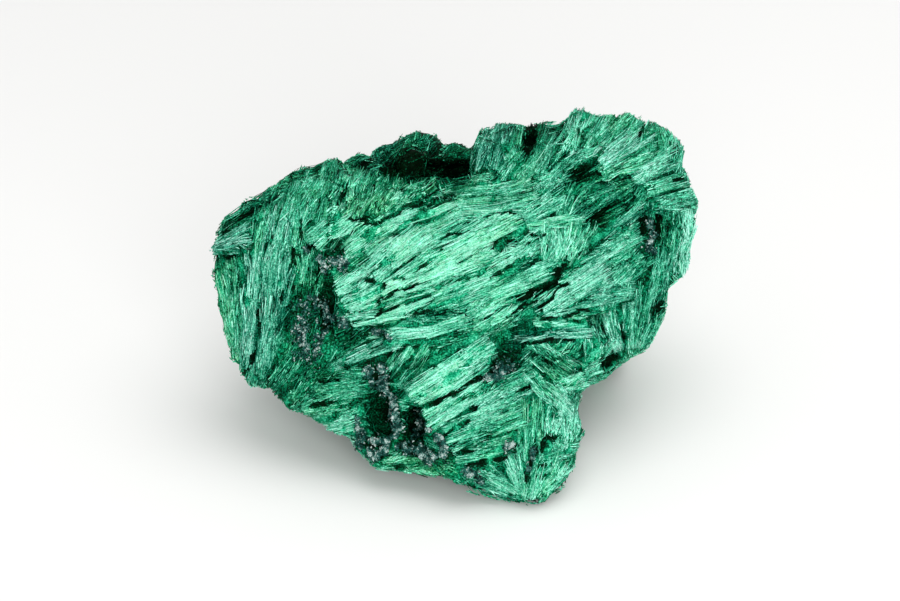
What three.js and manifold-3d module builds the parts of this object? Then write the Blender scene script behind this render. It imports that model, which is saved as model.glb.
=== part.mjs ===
// Velvet malachite: one mass of fibrous crystals grown together, broken out of its rock.
// Millimetres, +Z up. The mass rests on the low points of its underside, and +X runs along its long side.
import * as THREE from "three";
import { ConvexGeometry } from "three/addons/geometries/ConvexGeometry.js";
import { mergeVertices } from "three/addons/utils/BufferGeometryUtils.js";
import Module from "manifold-3d";

const wasm = await Module();
wasm.setup();

// Places are given as they are seen from one side, in mm to the right of and above MIDDLE, a point
// inside the mass, with the eye VIEW_DISTANCE away. A third number, where there is one, is mm toward the eye.
const MIDDLE = new THREE.Vector3(0, -15.3, 24.2);
const VIEW_DISTANCE = 520;

class Side {
  constructor(azimuth, elevation) {
    const a = THREE.MathUtils.degToRad(azimuth);
    const e = THREE.MathUtils.degToRad(elevation);
    this.toward = new THREE.Vector3(Math.sin(a) * Math.cos(e), -Math.cos(a) * Math.cos(e), Math.sin(e));
    this.right = new THREE.Vector3(Math.cos(a), Math.sin(a), 0);
    this.up = this.toward.clone().cross(this.right);
    this.eye = MIDDLE.clone().addScaledVector(this.toward, VIEW_DISTANCE);
  }

  // The place in the part's frame.
  at([right, up, toward]) {
    const scale = 1 - toward / VIEW_DISTANCE;
    return MIDDLE.clone()
      .addScaledVector(this.right, right * scale)
      .addScaledVector(this.up, up * scale)
      .addScaledVector(this.toward, toward);
  }
}

const DISPLAY = new Side(0, 29.5);

// The edge of the mass as the display side shows it, clockwise from the left.
const OUTLINE = [
  [-40, 13.4, -10],
  [-38.6, 16.8, -11],
  [-36.6, 18.8, -12],
  [-34.4, 21.8, -13],
  [-32, 22.4, -14],
  [-29, 24.6, -15],
  [-25.2, 26.4, -17],
  [-22, 26.9, -18],
  [-20, 28.3, -20],
  [-18.4, 26.9, -22],
  [-15.8, 29.2, -24],
  [-14, 28.2, -26],
  [-10.8, 30.4, -29],
  [-8.2, 31.8, -30],
  [-6, 32.4, -31],
  [-4.2, 32, -31],
  [-1.8, 29.8, -30],
  [1, 29.3, -29],
  [3.2, 29.8, -25],
  [4.4, 33, -24],
  [8.8, 34, -23],
  [12, 33.2, -22],
  [17.6, 34.2, -20],
  [20.6, 36, -19],
  [22.4, 35, -18],
  [28.6, 35.7, -17],
  [30.6, 34.4, -17],
  [34.6, 32.6, -17],
  [37, 29.8, -17],
  [36.8, 26.8, -16],
  [38.3, 24.8, -16],
  [39.6, 20.8, -15],
  [38.9, 16, -15],
  [37.4, 11, -14],
  [35.8, 8.4, -14],
  [34.6, 4, -14],
  [32.4, -1, -13],
  [28.4, -5.2, -12],
  [23.6, -7.8, -10],
  [20.4, -10, -7],
  [20, -13, -5],
  [21.1, -16.6, -2],
  [19.6, -21, 0],
  [17.9, -22.2, 1],
  [18.2, -25.6, 1],
  [16, -28, 2],
  [12.6, -28.8, 2],
  [6, -27.5, 2],
  [1.8, -26.4, 3],
  [1, -24.2, 2],
  [-6, -24, 1],
  [-13.4, -22.6, -1],
  [-17.4, -17.8, -4],
  [-24.6, -13.8, -6],
  [-29.2, -11, -7],
  [-30.6, -9.6, -8],
  [-34, -8.8, -8],
  [-34.6, -6, -9],
  [-36.8, -4.6, -9],
  [-38.6, 5, -9],
];
const FRONT = [0, -2, 3]; // the middle of the display side
const REAR = [4, 3, -34]; // the middle of the far side, low down

// Where the rings of corners between the outline and those two lie, as shares of the outline.
const FRONT_RINGS = [0.42, 0.7, 0.89];
const REAR_RINGS = [0.96, 0.82, 0.5];
const REAR_SWELL = 1.3; // 2 would make the far side round, and 1 makes it a cone

// Further lumps: the centre, then half sizes to the right, up and toward.
const LUMPS = [
  [[-24, 8, -16], [13, 13, 10]], // the lobe at the left
  [[27, 20, -18], [10, 13, 13]], // the block at the upper right
  [[23, 4, -20], [11, 9, 10]], // the lower right
  [[-9.8, 26.6, -28], [4, 3.8, 8]], // the dark knob at the back
  [[-5.6, 28.2, -29], [4, 4, 8]],
  [[-0.5, 25.4, -28], [5, 4, 7]],
  [[10, -18, -1], [10, 9, 6]], // above the foot
  [[-12, 1.4, -31], [14, 11.4, 11.4]], // the heel it rests on
  [[18, 3.6, -30.6], [12, 13.6, 13.6]],
  [[4, 4, -34], [13, 9, 9]],
];

// Hollows, in the same form.
const HOLLOWS = [
  [[-19.8, 13.2, 1], [1.9, 1.4, 7]], // by the end of the bright fan
  [[-21, 5.2, 2], [1.5, 4.2, 4.4]],
  [[-12, -13.8, 2], [2.3, 4.2, 7]], // the crusted hollow, in two
  [[-6.5, -15, 2], [1.7, 3.4, 6]],
  [[6.8, -5, 6], [1.1, 2.6, 4]],
  [[25.2, -5.4, -5], [1.9, 1.3, 7]], // among the loose prisms
  [[12.3, 30.8, -15], [1.3, 3.2, 6]], // cleft in the upper edge
  [[-3.4, 25.8, -19], [9, 2.2, 8]], // between the fan and the knob
];

// Sheaves of fibres laid on the mass: one end, the other end, the width at each, the height above the
// bulk at each. They end raggedly, and stand as a ledge where they end high.
const DISPLAY_SHEAVES = [
  // the bright fan across the middle, top strip to bottom strip
  [[-15.2, 11.1], [10.7, 23.8], [3.3, 5.6], [2.2, 0.6]],
  [[-16.9, 6.6], [14.8, 19.7], [4.3, 6.6], [2.8, 1]],
  [[-18, 2], [19.7, 15.6], [5, 7.2], [3, 1]],
  [[-11.5, -2.5], [17.2, 9], [4, 6], [3, 1]],
  [[-9, -3.8], [4.1, 0], [3, 3.3], [3.4, 1.6]],
  // its right end, tufted
  [[10.7, 12.3], [27, 23], [6.6, 8.2], [0.8, 0.6]],
  [[13.9, 1.6], [30.3, 11.8], [3.6, 9.8], [2.6, 1]],
  // the steep block at the upper right
  [[17.2, 22.1], [23.8, 35.2], [8.2, 11.5], [1, 0.4]],
  [[23.8, 20.5], [33, 34], [8, 10], [1.6, 0.4]],
  [[30.3, 16.4], [38.4, 27.9], [6.6, 8], [1, 0.6]],
  [[4.8, 22.6], [11.5, 33.6], [8, 9], [0.8, 0.6]],
  // the right side, running down and under
  [[36, 21.3], [33.4, 4.9], [5, 6], [1.2, 1]],
  [[34.9, 6.6], [27.9, -4.1], [5, 4], [1, 0.8]],
  // loose prisms at the lower right
  [[10.7, -2.5], [23.3, -1.3], [1.6, 2], [2.6, 2.6]],
  [[22.5, -1.5], [23.1, -6.6], [1.6, 1.6], [2.4, 2]],
  [[19.7, -7.9], [27.9, -1.6], [1.8, 4], [2, 1.4]],
  // the slabs below the fan
  [[-8.2, -15.6], [5.7, -3.3], [6.6, 8.2], [3.2, 1.8]],
  [[-3.8, -18.6], [13.9, -9], [5.6, 4.6], [3, 1.6]],
  [[-1.6, -23], [12.3, -14.8], [6.6, 7.5], [2, 1.4]],
  // the foot's fan, spread from a point near the ground
  [[13.9, -27], [4.4, -22], [1.6, 5], [1.6, 0.8]],
  [[13.9, -27], [8.2, -15.6], [1.8, 6], [1.6, 1]],
  [[13.9, -27], [15.2, -10.7], [1.8, 6], [1.6, 1]],
  [[13.9, -27], [19.8, -15.6], [1.8, 5], [1.6, 1]],
  // under the left end of the fan
  [[-17.2, -7.4], [-2.5, -1.6], [2.3, 4], [2.4, 1]],
  [[-25.4, -12.4], [-13.1, -8.2], [2, 5], [0.8, 0.8]],
  [[-20.4, -16.6], [-10.7, -11.5], [2.6, 6], [1, 0.8]],
  [[-16.4, -20.2], [-7, -18.8], [3, 5], [0.8, 0.8]],
  // the lobe at the left
  [[-32, -8.6], [-30, 7], [5, 8], [1.2, 1]],
  [[-29.8, 4.6], [-26, 19], [7.6, 10], [1.4, 0.8]],
  [[-25.9, -8.2], [-20.3, 9.8], [6, 6], [0.8, 0.6]],
  [[-35.2, -5.7], [-37.5, 11.1], [2.3, 4], [1, 0.8]],
  [[-39.3, 13.4], [-31.6, 17.2], [1.4, 6], [0.8, 1.4]],
  [[-24.5, 16.2], [-22.1, 24.6], [8, 8], [0.8, 0.6]],
  [[-13.7, 15.4], [-11, 22.6], [10.5, 12], [0.8, 0.6]],
];

// Sprays of laths all round the far sides: the azimuth and elevation they are seen from, the point that
// they spread from, the first and last direction in degrees anticlockwise from the right, how far they
// reach, how many there are.
const SPRAYS = [
  [180, -5, [-19, -10], 10, 370, 10, 8],
  [180, -5, [12, -12], -20, 300, 10, 7],
  [175, 5, [-27, 8], 0, 360, 13, 8],
  [185, 5, [24, -1], 40, 380, 12, 7],
  [180, 0, [-3, 2], 20, 360, 12, 7],
  [95, 0, [23, 1], -30, 330, 12, 7],
  [265, 0, [-19, 0], 30, 350, 12, 7],
  [-30, -40, [-25, -6], 0, 330, 11, 6],
  [30, -40, [31, -13], -20, 240, 7.5, 4],
  [0, -75, [-14, -30], 20, 340, 9, 5],
  [0, -75, [19, -31], -100, 240, 9, 5],
];

const SPRAY_START = 0.14; // how far from its middle a spray's laths start, as a share of its reach
const SPRAY_UNEVEN = 0.22; // how unevenly far they reach, as a share of it
const SPRAY_LIFTS = [1.3, 0.9]; // how high they lie at each end
const SPRAY_STEP = 0.7; // how unevenly high their far ends lie
const ROUGH = 0.14; // how unevenly large a lump is, as a share of its size
const LATH_WIDTH = 3.9; // about how wide one lath of a sheaf is
const LATH_SHARE = 1.12; // its width over the width it would need to meet the next
const LATH_DEPTH = 5; // how far it reaches into the mass
const RAGGED = 0.07; // how unevenly the laths end, as a share of the sheaf's length
const STEP = 0.5; // how unevenly high they lie
const TILT = 0.45; // how much higher one edge of a lath lies than the other
const MOST_BEND = 2.6; // a lath that would be bent more than this between its ends is left out

const MERGE_DISTANCE = 1e-4; // corners closer than this are one
const GROUND = [200, 200, 40]; // the block below the ground plane that is cut away
const PIECE_FACTOR = 127.1; // these three spread numbered pieces evenly over the range from -1 to 1
const TRAIT_FACTOR = 311.7;
const SPREAD_FACTOR = 43758.5453;
const KEY_FINENESS = 50; // a corner's key tells places this finely apart
const KEY_FACTORS = [1, 7, 31];
const LATHS_COUNTED = 20; // numbers kept free for the laths of one sheaf
const SPRAY_COUNTED = 30; // and for those of one spray
const FIRST_HOLLOW = 50; // the number of the first hollow, past those of the lumps

// The same small irregularity each time, from -1 to 1, for a numbered piece.
function uneven(piece, trait) {
  const s = Math.sin(piece * PIECE_FACTOR + trait * TRAIT_FACTOR) * SPREAD_FACTOR;
  return 2 * (s - Math.floor(s)) - 1;
}

// A mesh as a solid that can be joined and cut.
function solid(geometry) {
  geometry.deleteAttribute("normal");
  geometry.deleteAttribute("uv");
  const merged = mergeVertices(geometry, MERGE_DISTANCE);
  return new wasm.Manifold(
    new wasm.Mesh({
      numProp: 3,
      vertProperties: new Float32Array(merged.attributes.position.array),
      triVerts: new Uint32Array(merged.index.array),
    }),
  );
}

// A solid as a mesh.
function geometryOf(manifold) {
  const { vertProperties, triVerts } = manifold.getMesh();
  return new THREE.BufferGeometry()
    .setAttribute("position", new THREE.BufferAttribute(vertProperties, 3))
    .setIndex(new THREE.BufferAttribute(triVerts, 1));
}

// The largest connected surface of a mesh: gaps sealed between laths and loose crumbs are left out.
function largestSurface(geometry) {
  const index = geometry.index.array;
  const leader = Array.from({ length: geometry.attributes.position.count }, (_, i) => i);
  const leaderOf = (i) => {
    while (leader[i] !== i) {
      i = leader[i];
    }
    return i;
  };
  for (let t = 0; t < index.length; t += 3) {
    const first = leaderOf(index[t]);
    leader[leaderOf(index[t + 1])] = first;
    leader[leaderOf(index[t + 2])] = first;
  }
  const sizes = new Map();
  for (const corner of index) {
    const surface = leaderOf(corner);
    sizes.set(surface, (sizes.get(surface) ?? 0) + 1);
  }
  const [largest] = [...sizes].reduce((a, b) => (b[1] > a[1] ? b : a));
  const kept = geometry.clone().setIndex([...index].filter((corner) => leaderOf(corner) === largest));
  return mergeVertices(kept.toNonIndexed(), MERGE_DISTANCE);
}

// The bulk of the mass: rings of corners from the front through the outline to the rear.
function bulk() {
  const ring = (share, pole, swell, number) =>
    OUTLINE.map(([right, up, toward], i) => {
      const rough = share === 1 ? 0 : (ROUGH / 3) * uneven(i, number);
      const spread = share * (1 + rough);
      return DISPLAY.at([
        pole[0] + (right - pole[0]) * spread,
        pole[1] + (up - pole[1]) * spread,
        toward + (pole[2] - toward) * swell * (1 + 2 * rough),
      ]);
    });
  const rings = [
    ...FRONT_RINGS.map((share, i) => ring(share, FRONT, Math.sqrt(1 - share ** 2), i)),
    ring(1, FRONT, 0, 0),
    ...REAR_RINGS.map((share, i) => ring(share, REAR, 1 - share ** REAR_SWELL, 9 + i)),
  ];
  const n = OUTLINE.length;
  const corners = [DISPLAY.at(FRONT), ...rings.flat(), DISPLAY.at(REAR)];
  const last = corners.length - 1;
  const triangles = [];
  for (let i = 0; i < n; i++) {
    const next = (i + 1) % n;
    triangles.push(0, 1 + next, 1 + i);
    for (let start = 1; start + n < last; start += n) {
      triangles.push(start + i, start + next, start + n + i);
      triangles.push(start + next, start + n + next, start + n + i);
    }
    triangles.push(last - n + i, last - n + next, last);
  }
  return solid(new THREE.BufferGeometry().setFromPoints(corners).setIndex(triangles));
}

// One rounded lump with flat faces, of uneven size. The faces' copies of a corner move together, by its key.
function lump([centre, halfSizes], piece) {
  const geometry = new THREE.IcosahedronGeometry(1, 1);
  const position = geometry.attributes.position;
  const corner = new THREE.Vector3();
  for (let i = 0; i < position.count; i++) {
    corner.fromBufferAttribute(position, i);
    const key = KEY_FACTORS.reduce(
      (sum, factor, k) => sum + Math.round(corner.getComponent(k) * KEY_FINENESS) * factor,
      0,
    );
    const size = 1 + ROUGH * uneven(key, piece);
    const place = DISPLAY.at(centre.map((c, k) => c + corner.getComponent(k) * size * halfSizes[k]));
    position.setXYZ(i, place.x, place.y, place.z);
  }
  return solid(geometry);
}

const caster = new THREE.Raycaster();

// Where the line of sight to a place meets the surface, and the way the surface faces there.
function sighted(surface, side, [right, up]) {
  const aim = side.at([right, up, 0]).sub(side.eye).normalize();
  caster.set(side.eye, aim);
  const hit = caster.intersectObject(surface)[0];
  return hit && { point: hit.point, facing: hit.face.normal.clone().add(side.toward).normalize() };
}

// The same, or past the mass's edge the last place on the way there.
function laid(surface, side, from, to) {
  for (let share = 1; share > 0; share -= 0.1) {
    const found = sighted(surface, side, from.map((f, k) => f + (to[k] - f) * share));
    if (found) {
      return found;
    }
  }
  return null;
}

// One lath: its top follows the mass from end to end, and its underside is buried in it.
function lath(surface, side, ends, halfWidths, lifts, piece) {
  const [from, to] = ends;
  const middle = from.map((f, k) => (f + to[k]) / 2);
  const length = Math.hypot(to[0] - from[0], to[1] - from[1]);
  const across = [(from[1] - to[1]) / length, (to[0] - from[0]) / length];
  const rows = [from, middle, to].map((place, k) => {
    const halfWidth = (halfWidths[0] * (2 - k) + halfWidths[1] * k) / 2;
    const spots = [-1, 1].map((edge) => place.map((p, j) => p + across[j] * edge * halfWidth));
    return spots.map((spot) => laid(surface, side, middle, spot));
  });
  if (rows.flat().includes(null)) {
    return [];
  }
  const [start, centre, end] = rows.map(([a, b]) => a.point.clone().add(b.point).divideScalar(2));
  if (start.add(end).divideScalar(2).distanceTo(centre) > MOST_BEND) {
    return [];
  }
  const corners = rows.flatMap((row, k) =>
    row.flatMap(({ point, facing }, edge) => {
      const lift = (lifts[0] * (2 - k) + lifts[1] * k) / 2 + STEP * uneven(piece, 3);
      const height = lift + (2 * edge - 1) * TILT * uneven(piece, 4);
      return [height, -LATH_DEPTH].map((h) => point.clone().addScaledVector(facing, h));
    }),
  );
  return [solid(new ConvexGeometry(corners))];
}

// A sheaf: laths side by side, fanned from one end's width to the other's.
function sheaf(surface, side, [from, to, widths, lifts], laths, piece) {
  const length = Math.hypot(to[0] - from[0], to[1] - from[1]);
  const along = [(to[0] - from[0]) / length, (to[1] - from[1]) / length];
  const halfWidths = widths.map((w) => (w / laths / 2) * LATH_SHARE);
  return Array.from({ length: laths }).flatMap((_, i) => {
    const seed = piece * LATHS_COUNTED + i;
    const ends = [from, to].map((end, k) => {
      const aside = ((i + 0.5) / laths - 0.5) * widths[k];
      const onward = length * RAGGED * uneven(seed, 1 + k);
      return [end[0] - along[1] * aside + along[0] * onward, end[1] + along[0] * aside + along[1] * onward];
    });
    return lath(surface, side, ends, halfWidths, lifts, seed);
  });
}

// A sheaf of the display side's list, with its side and the number of its laths.
function onDisplay(shape) {
  const widths = shape[2];
  return [DISPLAY, shape, Math.max(1, Math.round(Math.max(...widths) / LATH_WIDTH))];
}

// The same for a spray: one sheaf of one lath in each direction.
function spray([azimuth, elevation, centre, first, last, reach, count], number) {
  const side = new Side(azimuth, elevation);
  const turn = THREE.MathUtils.degToRad(last - first) / count;
  return Array.from({ length: count }, (_, i) => {
    const angle = THREE.MathUtils.degToRad(first) + turn * (i + 0.5);
    const far = reach * (1 + SPRAY_UNEVEN * uneven(number * SPRAY_COUNTED + i, 5));
    const near = reach * SPRAY_START;
    const place = (distance) => [
      centre[0] + Math.cos(angle) * distance,
      centre[1] + Math.sin(angle) * distance,
    ];
    const lifts = [SPRAY_LIFTS[0], SPRAY_LIFTS[1] + SPRAY_STEP * uneven(number * SPRAY_COUNTED + i, 6)];
    return [side, [place(near), place(far), [near * turn + 1, far * turn], lifts], 1];
  });
}

// What lies under the surface that the mass rests on.
function ground() {
  const block = new THREE.BoxGeometry(...GROUND);
  block.translate(0, 0, -GROUND[2] / 2);
  return solid(block);
}

function specimenGeometry() {
  const rock = wasm.Manifold.union([bulk(), ...LUMPS.map(lump)]);
  const surface = new THREE.Mesh(geometryOf(rock));
  const sheaves = [...DISPLAY_SHEAVES.map(onDisplay), ...SPRAYS.flatMap(spray)];
  const laths = sheaves.flatMap(([side, shape, count], i) => sheaf(surface, side, shape, count, i));
  const hollows = HOLLOWS.map((hollow, i) => lump(hollow, FIRST_HOLLOW + i));
  const mass = wasm.Manifold.union([rock, ...laths]).subtract(wasm.Manifold.union([ground(), ...hollows]));
  return largestSurface(geometryOf(mass));
}

const malachite = new THREE.MeshStandardMaterial({ color: 0x2f9a72, roughness: 0.55, metalness: 0 });

const specimen = new THREE.Mesh(specimenGeometry(), malachite);
specimen.name = "malachite_mass";

const group = new THREE.Group();
group.add(specimen);
export default group;
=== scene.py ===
"""A velvet malachite specimen: a mass with its fibres and its dark crust, on a pale floor."""

import math

import bpy
import numpy as np
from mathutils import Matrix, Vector
from mathutils.bvhtree import BVHTree
from mathutils.kdtree import KDTree


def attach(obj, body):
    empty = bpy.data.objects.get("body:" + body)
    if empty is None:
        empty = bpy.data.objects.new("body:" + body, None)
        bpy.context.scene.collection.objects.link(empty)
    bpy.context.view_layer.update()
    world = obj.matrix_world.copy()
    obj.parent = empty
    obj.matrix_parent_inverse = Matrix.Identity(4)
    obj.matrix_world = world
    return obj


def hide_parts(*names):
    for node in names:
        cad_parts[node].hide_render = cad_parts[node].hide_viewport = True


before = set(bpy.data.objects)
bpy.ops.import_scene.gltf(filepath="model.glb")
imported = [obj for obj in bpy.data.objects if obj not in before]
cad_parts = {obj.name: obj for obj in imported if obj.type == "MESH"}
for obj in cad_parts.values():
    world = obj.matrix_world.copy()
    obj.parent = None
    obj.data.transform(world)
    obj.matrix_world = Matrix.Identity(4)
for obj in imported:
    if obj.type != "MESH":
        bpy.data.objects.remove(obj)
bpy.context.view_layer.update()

NODE = "malachite_mass"
MM = 0.001  # the shapes below are in mm, and the meshes in metres
CHANCE = np.random.default_rng(11)

# Places are given as they are seen from one side, in mm to the right of and above MIDDLE, a point
# inside the mass, with the eye VIEW_DISTANCE away. A third number, where there is one, is mm toward the eye.
MIDDLE = np.array([0, -15.3, 24.2])
VIEW_DISTANCE = 520


class Side:
    """One side that the mass is seen from."""

    def __init__(self, azimuth, elevation):
        a = math.radians(azimuth)
        e = math.radians(elevation)
        self.toward = np.array([math.sin(a) * math.cos(e), -math.cos(a) * math.cos(e), math.sin(e)])
        self.right = np.array([math.cos(a), math.sin(a), 0])
        self.up = np.cross(self.toward, self.right)
        self.eye = MIDDLE + self.toward * VIEW_DISTANCE

    def at(self, spots):
        """Places seen right of and above MIDDLE, and as far away, in the part's frame."""
        return MIDDLE + (spots[:, :1] * self.right + spots[:, 1:] * self.up)

    def seen(self, places):
        """Places of the part's frame as right, up and toward."""
        offset = places - MIDDLE
        toward = offset @ self.toward
        scale = 1 - toward / VIEW_DISTANCE
        return np.stack([offset @ self.right / scale, offset @ self.up / scale, toward], -1)


DISPLAY = Side(0, 29.5)  # the side that the photo shows


def table(text):
    """The rows of a table, as lists of numbers and words. Lines that start with # are remarks."""
    rows = [line.split() for line in text.strip().splitlines() if line[0] != "#"]
    return [[word if word.isalpha() else float(word) for word in row] for row in rows]


def lines_of(text):
    """Rows of two numbers and then the places along a line."""
    return [(row[0], row[1], np.reshape(row[2:], (-1, 2))) for row in table(text)]


# How fibres lie together: how long a fibre is and how thick, how wide their bundles are and how many times
# longer, how far the bundles stand over each other, how far a tip stands up, how many degrees bundles and
# fibres turn, and 1 where they start at a blunt edge.
STYLE_ROWS = table("""
style length thick bundle stretch step tip turn splay blunt
plates 3.2 .125 .7 5 .34 .05 2.5 2.2 1
reeds 2.6 .13 .65 4 .42 .1 6 4 1
tufts 1.9 .14 .65 2.4 .5 .16 14 7 0
pile 1.7 .15 .6 1.6 .5 .2 26 12 0
hair 2.5 .135 .6 3.6 .42 .1 9 6 0
""")
STYLES = {row[0]: dict(zip(STYLE_ROWS[0], row)) for row in STYLE_ROWS[1:]}
LAYERS = 4  # how many whole fibres lie over each other
DASH_LAYERS = 5.2  # and how many short broken ones
DASH = 0.4  # how long those are, as a share of a whole one

# The display side's sheaves: the places of their two ends, the width at each, how pale from 0 to 1, how blue
# (below 0) or yellow (above 0), how far they stand over the rest, and how their fibres lie.
GROUPS = {}
GROUPS["fibres_fan"] = table("""
# the plates over the small hole at the upper left
-24.4 14.6 -18.2 18.6 1.8 3.4 .76 -.1 .5 plates
-22.4 13.2 -16.4 17.8 1.6 2.4 .8 0 .7 plates
# the fan's top strip, and the dark strip under it
-18.2 12.2 -10.6 17.8 2.6 3.4 .86 0 .6 plates
-11.8 17 -1 21 2.8 2.8 .88 0 .4 plates
-19.2 7.6 -10.2 15 2.6 2.4 .76 0 .1 plates
# the plates that end in steps at the left
-19.4 5.6 -12.6 9.8 2.6 3.6 .86 0 .4 plates
-18.6 3.2 -11 6.4 2.8 3.2 .92 0 .7 plates
-14 9 -5.6 15.4 3.4 3.8 .86 0 .9 plates
-12 6.2 -3 11.2 2.8 3.6 .84 0 .7 plates
-12.2 4.4 -3.6 7.4 1.6 2.6 .86 -.1 .4 plates
-19.2 2.4 -13.4 3 1.8 2 .8 -.2 .5 plates
-17 .9 -8.4 3.4 1.4 2.2 .92 0 .5 plates
-11.6 1.4 -4.6 4.4 1.8 2 .86 0 .3 plates
-10.6 -.9 -4 -.2 2 1.6 .84 -.1 .25 plates
-5 -.6 1.4 1.5 1.8 1.8 .7 0 .2 plates
-8.8 1.5 .8 3.4 1.2 2.2 .6 -.1 -.2 pile
.6 .4 4.4 1.8 2.4 2 .48 0 .1 tufts
# its middle
-7.6 13.4 1.6 17.8 3.6 4 .73 0 .4 plates
-4.4 9.4 5.6 14.2 4.2 4.6 .76 0 .4 plates
-4.2 6.6 6.4 11 3 3.6 .7 0 .3 plates
-3 4 7 8 2.6 3 .64 0 .1 plates
0 13.6 9.4 18.6 4 4.4 .84 0 .5 plates
-1.6 22.8 6.6 24.6 1.6 2.2 .56 .1 0 reeds
0 21.2 9.6 22.6 2.6 3 .66 0 .2 plates
.6 18.8 11.4 19.8 2.2 2.6 .7 -.1 .3 plates
8.6 22 16.6 24.4 3.2 3.6 .62 0 .1 reeds
11.4 18.4 17.6 21.8 2.6 2.8 .64 -.2 .3 plates
11.6 16.8 20.4 18.2 1.6 2 .66 0 .3 reeds
5.4 9.6 12.4 13.4 3 3.4 .88 0 .2 plates
6 5.8 15 9.8 2.6 3 .72 0 .2 plates
10.2 12.6 16 16.6 2.4 2.6 .68 -.1 .2 reeds
10.6 9.8 14.4 12.4 2.2 2.6 .46 0 0 reeds
11.6 8.8 17.4 11.4 2 2.2 .64 0 .3 plates
2.8 2.6 8 5.8 2.8 2.6 .64 0 .1 tufts
4 -.6 9.4 2.4 2.8 2.8 .64 0 .1 tufts
# upright tufts at its right end
14.8 11 15.4 16.6 1.2 3 .72 0 .3 tufts
16.8 10.8 18.2 16.8 1.4 3.2 .68 0 .3 tufts
19.2 11.2 21.4 16.8 2 3.8 .6 0 .1 tufts
""")
# its upper part, whose darkest rows carry painted shade between the tufts
GROUPS["fibres_block"] = table("""
# the face at the left of the steep block
3.2 26.2 5.6 33.2 1.8 3 .5 -.5 0 reeds
6.4 26.4 8.6 33.9 2.8 3.2 .42 -.4 .2 reeds
9.4 26.8 10.8 33 1.8 1.8 .44 0 0 reeds
12 28.2 13.2 33 2.6 2.8 .2 0 0 hair
7.4 25.2 10.6 28.6 2.2 2 .56 -.1 .3 tufts
10.8 24.6 13.6 28 2.4 2.4 .56 0 .2 tufts
# its upper part
12.8 25 16.4 31.8 2.4 3 .46 -.1 .2 reeds
15.4 26.6 19.2 35 2.4 2.8 .48 -.1 0 reeds
18.2 29 21.2 36.2 2.6 2.8 .68 -.2 .5 reeds
20.8 29.8 24.4 35.6 2.4 3 .6 0 .2 reeds
23.6 30.8 27.4 35.4 2.6 3 .56 .1 .2 tufts
26.8 31.6 30.2 35.4 3 3.4 .54 0 .3 pile
23.4 27.2 31.4 32.6 2.6 4.4 .76 -.4 .4 reeds
17.2 27 23 30.4 2.6 3 .5 -.1 0 reeds
16.4 24.2 24.4 28.6 2.8 3 .24 .1 -.2 reeds
24 25.4 32 29.4 2.8 3.2 .6 .15 .2 reeds
29 24.6 35.6 28.2 2.6 3 .7 -.2 .3 reeds
31.6 28.8 32.6 34.2 2.4 2.6 .48 0 .1 tufts
34.2 28 33.6 33 2.8 2.6 .5 0 .2 tufts
36 26.4 36.2 31 2 2 .48 -.2 .1 tufts
14.2 22.8 17.6 25.8 2.6 2.8 .56 -.3 .3 tufts
17.6 18 20 23.8 2.4 3.2 .5 0 0 reeds
20.8 21.8 28.6 25 2.6 3 .36 0 0 tufts
19.4 18.2 26 22.8 2 2.8 .44 -.3 .1 reeds
28 20.4 32.4 25 3 3.4 .36 0 -.1 tufts
20.8 17.2 28 21 2 2.4 .22 .1 -.3 reeds
25.4 16.2 30.4 19.6 1.8 2.2 .56 -.3 .2 reeds
# the right side, running down and under
31.4 22.8 37.8 24.8 2 2.4 .58 0 .3 reeds
33.2 20.4 39 21.4 2.6 3.4 .56 -.2 .2 pile
32 11 32 21 3.2 3.2 .28 -.1 -.3 tufts
35.2 10 35.6 20.6 2.8 3.2 .42 0 0 hair
36.8 9.4 38.4 19 2.2 2.2 .74 -.5 .2 tufts
33 5.2 34.4 12.4 3 2.8 .42 -.3 0 hair
30.2 -2.6 33.4 6.4 2.4 3 .42 -.2 0 hair
""")
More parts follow.
